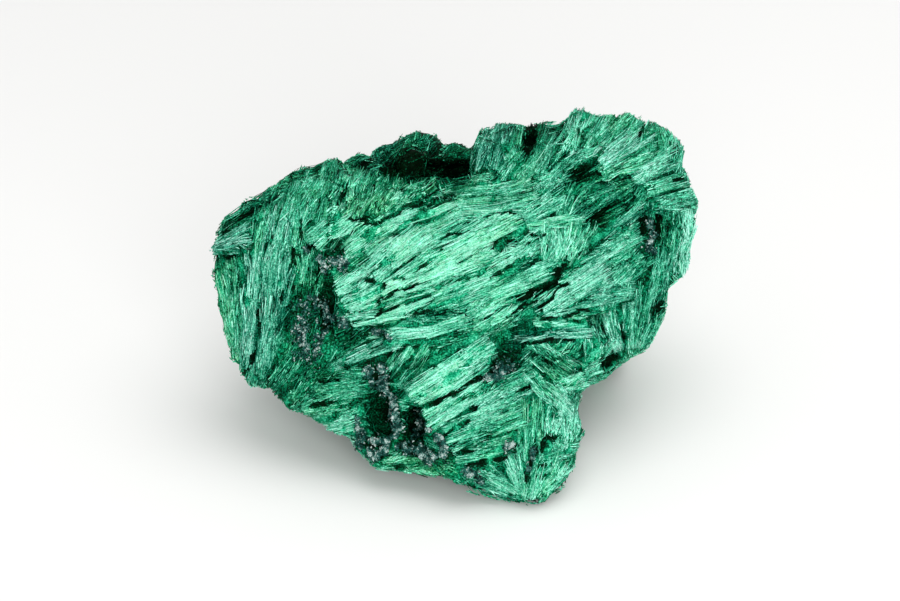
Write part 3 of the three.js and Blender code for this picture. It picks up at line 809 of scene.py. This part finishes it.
def direction_finder(surface, laid):
    """A function from places to the way the fibres run there, how pale they are and their hue."""
    tree = KDTree(len(laid))
    for i, place in enumerate(laid.places[:, 1].tolist()):
        tree.insert(place, i)
    tree.balance()
    runs = unit(laid.places[:, -1] - laid.places[:, 0])
    centres, origins = [], []
    for azimuth, elevation, right, up, reach, direction, _ in SPRAYS:
        side = Side(azimuth, elevation)
        angle = math.radians(direction)
        aside = side.right * math.cos(angle) + side.up * math.sin(angle)
        centres.append(surface.cast(side, np.array([[right, up]]))[0][0])
        origins.append(centres[-1] + aside * reach * ASIDE)
    centres, origins = np.array(centres), np.array(origins)
    reaches, tones = np.array(SPRAYS)[:, [4, 6]].T

    def find(places, facing, near=2.5):
        found = [tree.find(p) for p in places.tolist()]
        index = np.array([f[1] for f in found])
        close = np.array([f[2] for f in found]) < near
        distance = np.linalg.norm(places[:, None] - centres[None], axis=2) / reaches
        distance += 0.25 * np.stack([noise(places, 5, 500 + k) for k in range(len(centres))], -1)
        spray = np.argmin(distance, axis=1)
        way = np.where(close[:, None], runs[index], places - origins[spray])
        way = unit(way - facing * np.sum(way * facing, -1, keepdims=True))
        tone = np.where(close, laid.tone[index], tones[spray])
        hue = np.where(close, laid.hue[index], 0.3 * noise(places, 14, 6))
        return way, tone, hue, close

    return find


FAR_COUNT, FAR_DASHES = 16000, 40000  # how many whole fibres and short broken ones lie all over
FAR_DASH = 0.6  # how long those are, as a share of a whole one
FAR_LENGTHS = 1.6, 3.6  # these numbers are as for the sheaves, but all in mm
FAR_THICKNESSES = 0.119, 0.2295
FAR_DEPTHS = -0.1, 0.06
FAR_PROFILE = np.array([-0.15, 0.02, -0.06])
FAR_TIP = 0.08
OVER_GAP = 0.4  # a fibre is left out where its middle would hang this far above the surface


def all_over(surface, find, count, shorter=1):
    """Fibres over the sides that no sheaf covers, which follow the sprays."""
    places, facing = surface.scatter(count)
    way, tone, hue, close = find(places, facing, near=0.9)
    kept = ~close | surface_hides(surface, places)
    places, facing, way, tone, hue, close = (a[kept] for a in (places, facing, way, tone, hue, close))
    n = len(places)
    bundle = noise(places, 1.3, 21)
    turn = np.radians(9 * bundle + CHANCE.normal(0, 4, n))[:, None]
    way = way * np.cos(turn) + np.cross(facing, way) * np.sin(turn)
    reach = CHANCE.uniform(*FAR_LENGTHS, n)[:, None] * shorter
    _, far_facing = surface.nearest(places + way * reach)
    # shorter over edges
    reach = reach * np.clip(np.sum(facing * far_facing, -1, keepdims=True) + 0.1, 0.3, 1)
    second, second_facing = surface.nearest(places + way * reach / 2)
    way2 = way - second_facing * np.sum(way * second_facing, -1, keepdims=True)
    third, third_facing = surface.nearest(second + unit(way2) * reach / 2)
    path = np.stack([places, second, third], 1)
    faces = np.stack([facing, second_facing, third_facing], 1)
    faces = unit(faces.mean(1, keepdims=True) + faces)
    lift = 0.02 + 0.16 * bundle[:, None] + CHANCE.uniform(*FAR_DEPTHS, (n, 1))
    profile = FAR_PROFILE + CHANCE.random((n, 1)) ** 2 * FAR_TIP * TIP_SHARES
    path = path + faces * (lift + profile + bumps(path))[..., None]
    thick = CHANCE.uniform(*FAR_THICKNESSES, n)
    # Near the sheaves, fibres turned away from the display side are darker: painted shade on the steps'
    # faces.
    tone = tone - 0.18 * (1 - np.clip(facing @ DISPLAY.toward, 0, 1)) * close + CHANCE.normal(0, 0.12, n)
    over_gaps = np.sum(((path[:, 0] + path[:, -1]) / 2 - path[:, 1]) * faces[:, 1], -1) > OVER_GAP
    whole = (np.linalg.norm(path[:, -1] - path[:, 0], axis=1) > 0.5) & ~over_gaps
    return Fibres(path, faces, thick, tone, hue + CHANCE.normal(0, 0.08, n)).only(whole)


def surface_hides(surface, places):
    """Whether the mass hides places from the display side."""
    eye = DISPLAY.eye
    aims = unit(places - eye)
    far = np.linalg.norm(places - eye, axis=1)
    start = Vector(eye)
    reached = np.array([surface.tree.ray_cast(start, Vector(aim))[3] or 0 for aim in aims.tolist()])
    return reached < far - 0.4


OFF_GROUND = 0.12  # how far above the ground the fibres' middle lines stay


def sunk_thinned_and_shaded(surface, fibres):
    """Fibres by where they lie: lower and fewer in cracks, pits, hollows and crust; darker with painted shade
    in cracks, pits, hollows and shut-in places, and darker round the crust.
    """
    middle = fibres.places.mean(1)
    facing = fibres.facing[:, 1]
    way = unit(fibres.places[:, -1] - fibres.places[:, 0])
    crack = streaks(middle, way, 0.36, 1.3, 61)
    broad = streaks(middle, way, 1.6, 3, 62)
    pit = noise(middle, 1.5, 63)
    shut = 1 - surface.openness(middle, facing)
    dark = np.maximum(painted_shade(middle, facing), 0.6 * crusted(middle, facing, 2.2))
    cracked = np.clip(-crack - 0.8, 0, 1)
    pitted = np.clip(6 * (pit - 0.5), 0, 1)
    # The fine cracks, pits, shut-in places, dark patches and hollows get painted shade; paleness also varies
    # at random along the streaks.
    fibres.tone = fibres.tone + 0.05 * crack + 0.05 * broad - 0.3 * cracked
    fibres.tone = fibres.tone - 0.3 * shut - 0.55 * dark - 0.3 * dark**4 - 0.25 * pitted
    sink = 0.3 * cracked + 0.4 * dark + 0.3 * pitted - 0.05 * broad
    fibres.places = fibres.places - facing[:, None] * sink[:, None, None]
    fibres.places[..., 2] = np.maximum(fibres.places[..., 2], OFF_GROUND)
    gone = np.maximum(0.4 * cracked, 0.5 * np.maximum(pitted, dark) + 0.3 * dark**4)
    gone = np.maximum(gone, 0.85 * crusted(middle, facing))
    return fibres.only(CHANCE.random(len(fibres)) > gone)


def mesh_object(name, places, triangles, material, slot, tones):
    """A shown piece of the mass, from arrays."""
    mesh = bpy.data.meshes.new(name)
    mesh.vertices.add(len(places))
    mesh.vertices.foreach_set("co", (places * MM).ravel())
    mesh.loops.add(triangles.size)
    mesh.loops.foreach_set("vertex_index", triangles.ravel().astype(np.int32))
    mesh.polygons.add(len(triangles))
    mesh.polygons.foreach_set("loop_start", np.arange(0, triangles.size, 3, dtype=np.int32))
    attribute = mesh.attributes.new("fibre", "FLOAT_COLOR", "POINT")
    attribute.data.foreach_set("color", tones.astype(np.float32).ravel())
    mesh.update(calc_edges=True)
    mesh.materials.append(material)
    piece = bpy.data.objects.new(name, mesh)
    bpy.context.scene.collection.objects.link(piece)
    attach(piece, "root")
    return piece


# The triangles of a blunt and of a pointed needle.
BLUNT = [[0, 2, 1], [3, 4, 5], [0, 1, 4], [0, 4, 3], [1, 2, 5], [1, 5, 4], [2, 0, 3], [2, 3, 5]]
POINTED = [[0, 2, 1], [0, 1, 3], [1, 2, 3], [2, 0, 3]]


def needle_arrays(fibres, pointed):
    """Corners, triangles and tones of a closed three-sided needle for each fibre, pointed or blunt."""
    n = len(fibres)
    ends = fibres.places[:, [0, -1]]
    run = unit(ends[:, 1:] - ends[:, :1])
    aside = unit(np.cross(run, fibres.facing[:, [0, -1]]))
    above = np.cross(aside, run)
    taper = np.stack([CHANCE.uniform(0.7, 1.1, n), CHANCE.uniform(0.3, 1, n)], 1)
    radius = fibres.thick[:, None] * 0.62 * taper
    roll = CHANCE.uniform(0, 2 * math.pi, n)
    turn = (roll[:, None] + np.arange(3) * 2 * math.pi / 3)[:, None, :, None]
    ring = aside[:, :, None] * np.cos(turn) + above[:, :, None] * np.sin(turn)
    corners = ends[:, :, None] + radius[..., None, None] * ring
    if pointed:
        places = np.concatenate([corners[:, 0], ends[:, 1:]], axis=1)
    else:
        places = corners.reshape(n, 6, 3)
    each = places.shape[1]
    triangles = (np.arange(n) * each)[:, None, None] + np.array(POINTED if pointed else BLUNT)
    tones = np.stack([fibres.tone, fibres.hue, CHANCE.random(n), np.ones(n)], 1)
    tones = np.repeat(tones, each, axis=0)
    tones[:, 0] = np.clip(tones[:, 0] + CHANCE.normal(0, 0.09, len(tones)), DARKEST, 1)
    return places.reshape(-1, 3), triangles.reshape(-1, 3), tones


def fibre_piece(name, whole, dashes, material):
    """One piece of whole fibres and the short broken ones over them."""
    places, triangles, tones = needle_arrays(whole, False)
    more_places, more_triangles, more_tones = needle_arrays(dashes, True)
    places = np.concatenate([places, more_places])
    places[:, 2] = np.maximum(places[:, 2], 0)
    triangles = np.concatenate([triangles, more_triangles + len(places) - len(more_places)])
    return mesh_object(name, places, triangles, material, "malachite", np.concatenate([tones, more_tones]))


VOXEL = 0.85  # the size of the body's even cells


def furrowed_body(surface, find, material):
    """The mass itself under the fibres, with furrows that run as they do."""
    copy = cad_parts[NODE].copy()
    copy.data = copy.data.copy()
    copy.parent = None
    copy.hide_render = False
    bpy.context.scene.collection.objects.link(copy)
    remesh = copy.modifiers.new("even", "REMESH")
    remesh.mode = "VOXEL"
    remesh.voxel_size = VOXEL * MM
    graph = bpy.context.evaluated_depsgraph_get()
    mesh = bpy.data.meshes.new_from_object(copy.evaluated_get(graph))
    bpy.data.objects.remove(copy)
    count = len(mesh.vertices)
    places, facing = np.empty(count * 3), np.empty(count * 3)
    mesh.vertices.foreach_get("co", places)
    mesh.vertices.foreach_get("normal", facing)
    places, facing = places.reshape(-1, 3) / MM, facing.reshape(-1, 3)
    quads = np.empty(len(mesh.loops), np.int32)
    mesh.loops.foreach_get("vertex_index", quads)
    quads = quads.reshape(-1, 4)
    triangles = np.concatenate([quads[:, [0, 1, 2]], quads[:, [0, 2, 3]]])
    bpy.data.meshes.remove(mesh)

    way, tone, hue, _ = find(places, facing)
    furrow = streaks(places, way, 1, 2.4, 41)
    fine = streaks(places, way, 0.6, 1.6, 42)
    dark = painted_shade(places, facing)
    height = -0.24 + 0.12 * furrow + 0.07 * fine - 0.7 * dark
    height = height + standing(places, facing) + bumps(places) + 0.6 * dark * noise(places, 1.2, 43)
    crust = crusted(places, facing)
    height = height + crust * (0.3 + 0.4 * noise(places, 1.3, 81))
    height = np.where(places[:, 2] < 0.3, np.minimum(height, 0), height)
    moved = places + facing * height[:, None]
    moved[:, 2] = np.maximum(moved[:, 2], 0)
    shut = 1 - surface.openness(places, facing)
    # Painted shade darkens the body where shut in and under the dark patches, cracks, raised edges and
    # hollows; it is also darker under the crust.
    tone = tone * 0.4 + 0.06 * furrow + 0.06 * fine - 0.3 * shut - 0.4 * dark - 0.2 * crust
    green = hollowed(places) * (1 - 0.9 * dark)
    tone = np.maximum(tone, (0.2 + 0.06 * fine) * green + DARKEST * (1 - green))
    tones = np.stack([np.clip(tone, DARKEST, 1), hue * 0.5, np.full(count, 0.5), np.ones(count)], 1)
    piece = mesh_object("malachite_body", moved, triangles, material, "malachite", tones)
    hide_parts(NODE)
    return piece


# A grain before it is jittered and turned, and how grains lie.
GRAIN = np.array([[1, 1, 1], [1, -1, -1], [-1, 1, -1], [-1, -1, 1]], float)
GRAIN_SIDES = np.array([[0, 1, 2], [0, 3, 1], [0, 2, 3], [1, 3, 2]])
GRAINS = 17  # how many there are in a millimetre for a density of 1
GRAIN_SIZES = 0.06, 0.16
SPREAD = 0.7  # how far they scatter round a line, for a half width of 1
HEAPED = -0.3  # they are left out where the heaping noise is lower


def crust_grains(surface, material):
    """Warty grains of the dark crust, along its lines."""
    spots = []
    for half_width, density, line in CRUSTS:
        for a, b in zip(line[:-1], line[1:]):
            count = max(6, round(np.linalg.norm(b - a) * density * GRAINS))
            middle = a + CHANCE.random((count, 1)) * (b - a)
            spots.append(middle + CHANCE.normal(0, SPREAD, (count, 2)) * half_width)
    places, facing, met = surface.cast(DISPLAY, np.concatenate(spots))
    places, facing = places[met], facing[met]
    heap = noise(places, 1.3, 81) + 0.6 * noise(places, 0.55, 82)
    kept = heap > HEAPED
    places, facing, heap = places[kept], facing[kept], heap[kept]
    count = len(places)
    size = CHANCE.uniform(*GRAIN_SIZES, count)[:, None, None]
    rise = CHANCE.uniform(-0.1, 0.35, count) + 0.25 + 0.55 * heap + bumps(places)
    centres = places + facing * rise[:, None]
    rough = 1 + 0.25 * CHANCE.normal(0, 1, (count, len(GRAIN), 1)).clip(-1.6, 1.6)
    turned = CHANCE.normal(0, 1, (count, 3, 3))
    turned = np.linalg.qr(turned)[0] * np.sign(np.linalg.det(np.linalg.qr(turned)[0]))[:, None, None]
    corners = centres[:, None] + (GRAIN[None] * rough) @ turned * size
    corners[..., 2] = np.maximum(corners[..., 2], 0)
    triangles = (np.arange(count) * len(GRAIN))[:, None, None] + GRAIN_SIDES[None]
    tone = 0.5 + 0.3 * heap + 0.45 * noise(places, 0.5, 83) + CHANCE.normal(0, 0.2, count)
    tone = np.clip(tone, 0, 1)
    tones = np.stack([tone, tone * 0, CHANCE.random(count), tone * 0 + 1], 1)
    tones = np.repeat(tones, len(GRAIN), axis=0)
    shape = corners.reshape(-1, 3), triangles.reshape(-1, 3)
    return mesh_object("crust_grains", *shape, material, "dark_crust", tones)


class Shader:
    """A material made of nodes."""

    def __init__(self, name):
        self.material = bpy.data.materials.new(name)
        self.material.use_nodes = True
        self.tree = self.material.node_tree
        self.bsdf = self.tree.nodes["Principled BSDF"]

    def node(self, kind, *values):
        """A node, with values or links for its first inputs."""
        made = self.tree.nodes.new("ShaderNode" + kind)
        for socket, value in zip(made.inputs, values):
            self.feed(socket, value)
        return made

    def done(self, colour, roughness, specular):
        """The material, with these values or links for its surface."""
        for name, value in ("Base Color", colour), ("Roughness", roughness), ("Specular IOR Level", specular):
            self.feed(self.bsdf.inputs[name], value)
        return self.material

    def fibre(self):
        """Paleness, hue and chance as the fibres or grains have them."""
        attribute = self.node("Attribute")
        attribute.attribute_name = "fibre"
        return self.node("SeparateColor", attribute.outputs["Color"]).outputs

    def feed(self, socket, value):
        """Sets a socket or links it."""
        if isinstance(value, bpy.types.NodeSocket):
            self.tree.links.new(value, socket)
        else:
            socket.default_value = value

    def sum_of(self, a, b, scale=1):
        """a + b * scale, as a number."""
        made = self.node("Math", b, scale, a)
        made.operation = "MULTIPLY_ADD"
        return made.outputs[0]

    def ramp(self, value, stops):
        """Colours along a value."""
        made = self.node("ValToRGB", value)
        elements = made.color_ramp.elements
        while len(elements) < len(stops):
            elements.new(0.5)
        for element, (position, *colour) in zip(elements, stops):
            element.position = position
            element.color = (*colour, 1)
        return made.outputs[0]

    def mixed(self, share, a, b):
        """Two colours mixed."""
        made = self.node("Mix", share)
        made.data_type = "RGBA"
        self.feed(made.inputs[6], a)
        self.feed(made.inputs[7], b)
        return made.outputs[2]

    def limited(self, value):
        """A value kept from 0 to 1."""
        return self.node("Clamp", value).outputs[0]

    def noise(self, scale, detail=3):
        """Noise in the part's own frame, from 0 to 1."""
        made = self.node("TexNoise", self.node("TexCoord").outputs["Object"])
        made.inputs["Scale"].default_value = scale
        made.inputs["Detail"].default_value = detail
        return made.outputs[0]

    def varied(self, value, amount, scale, detail=3):
        """A value with noise added, from half an amount below it to half an amount above."""
        return self.sum_of(value, self.sum_of(-0.5, self.noise(scale, detail)), amount)


# Plain, bluish and yellowish malachite: how pale from 0 to 1, then red, green and blue.
PLAIN = table("""
0 .0001 .005 .001
.2 .0001 .07 .026
.4 .003 .245 .112
.6 .045 .48 .27
.8 .16 .78 .52
1 .42 .96 .76
""")
BLUISH = table("""
0 .0002 .006 .003
.2 .0004 .065 .038
.4 .010 .225 .15
.6 .10 .43 .32
.8 .27 .72 .57
1 .55 .93 .82
""")
YELLOWISH = table("""
0 .0002 .006 .0005
.2 .001 .06 .012
.4 .018 .24 .06
.6 .09 .50 .17
.8 .24 .78 .36
1 .50 .95 .60
""")
# The crust, the same way.
CRUST = table("""
0 .001 .014 .010
.4 .004 .055 .043
.6 .018 .14 .11
.78 .13 .275 .235
1 .49 .60 .57
""")


def malachite_material(name, roughness):
    """Green by the paleness of each fibre, with noise of about 0.9 and 0.3 mm."""
    s = Shader(name)
    tone, hue, chance = s.fibre()
    spread = s.limited(s.varied(s.varied(tone, 0.35, 1100), 1, 3600, 1))
    blue = s.mixed(s.limited(s.sum_of(0, hue, -1)), s.ramp(spread, PLAIN), s.ramp(spread, BLUISH))
    both = s.mixed(s.limited(hue), blue, s.ramp(spread, YELLOWISH))
    return s.done(both, s.sum_of(roughness, chance, 0.2), 0.02)


def crust_material():
    """Pale grey to near black, with a green tinge."""
    s = Shader("dark_crust")
    spread = s.limited(s.varied(s.fibre()[0], 1.2, 1500))
    return s.done(s.ramp(spread, CRUST), 0.5, 0.1)


def floor():
    """A plain pale floor, six metres wide."""
    s = Shader("pale_floor")
    colour = s.ramp(s.noise(6), [(0, 0.76, 0.76, 0.75), (1, 0.79, 0.79, 0.78)])
    bpy.ops.mesh.primitive_plane_add(size=6, location=(0, 0, 0))
    plane = bpy.context.object
    plane.name = "floor"
    plane.data.materials.append(s.done(colour, 0.6, 0.5))


def aimed(name, data, place, way):
    """A light or camera at a place, in metres, which looks along a way."""
    made = bpy.data.objects.new(name, data)
    made.location = place
    made.rotation_mode = "QUATERNION"
    made.rotation_quaternion = way.to_track_quat("-Z", "Y")
    bpy.context.scene.collection.objects.link(made)
    return made


# The lights' places and sizes in metres and their power in watts, and the place they light.
LIGHTS = {"key": ((0.16, -0.05, 0.8), 0.9, 4), "front": ((0.12, -0.95, 0.36), 0.7, 8.4)}
TARGET = Vector((0, 0, 0.02))


def lights():
    """Soft studio light from above and from the front, and a little from all round."""
    for name, (place, size, power) in LIGHTS.items():
        data = bpy.data.lights.new(name, "AREA")
        data.shape = "DISK"
        data.size = size
        data.energy = power
        aimed(name, data, place, TARGET - Vector(place))
    world = bpy.data.worlds.new("soft")
    world.use_nodes = True
    background = world.node_tree.nodes["Background"]
    background.inputs["Color"].default_value = (1, 1, 1, 1)
    background.inputs["Strength"].default_value = 0.65
    bpy.context.scene.world = world


# The photo is 900 pixels wide with 6.1 to a mm, and MIDDLE lies 5 right of and 29.5 below its middle.
PICTURE = 900
PIXELS = 6.1
SENSOR = 36


def camera():
    """The camera where the photo was taken from."""
    data = bpy.data.cameras.new("camera")
    data.sensor_width = SENSOR
    data.lens = PIXELS * VIEW_DISTANCE / PICTURE * SENSOR
    data.shift_x = -5 / PICTURE
    data.shift_y = 29.5 / PICTURE
    data.clip_start = 0.01
    data.clip_end = 20
    eye = Vector(DISPLAY.eye * MM)
    bpy.context.scene.camera = aimed("camera", data, eye, Vector(-DISPLAY.toward))


def specimen():
    """The whole specimen."""
    surface = Surface(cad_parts[NODE])
    fibre = malachite_material("malachite_fibre", 0.42)
    whole = {}
    for name, rows in GROUPS.items():
        whole[name] = Fibres.joined([sheaf(surface, row, LAYERS) for row in rows])
    find = direction_finder(surface, Fibres.joined(whole.values()))
    furrowed_body(surface, find, malachite_material("malachite_body", 0.5))
    for name, rows in GROUPS.items():
        dashes = Fibres.joined([sheaf(surface, row, DASH_LAYERS, DASH) for row in rows])
        fibre_piece(name, sunk_thinned_and_shaded(surface, whole[name]), sunk_thinned_and_shaded(surface, dashes), fibre)
    rest = sunk_thinned_and_shaded(surface, all_over(surface, find, FAR_COUNT))
    dashes = sunk_thinned_and_shaded(surface, all_over(surface, find, FAR_DASHES, FAR_DASH))
    for name, half in ("fibres_far_1", slice(0, None, 2)), ("fibres_far_2", slice(1, None, 2)):
        fibre_piece(name, rest.only(half), dashes.only(half), fibre)
    crust_grains(surface, crust_material())


specimen()
floor()
lights()
camera()
bpy.context.scene.view_settings.view_transform = "Standard"
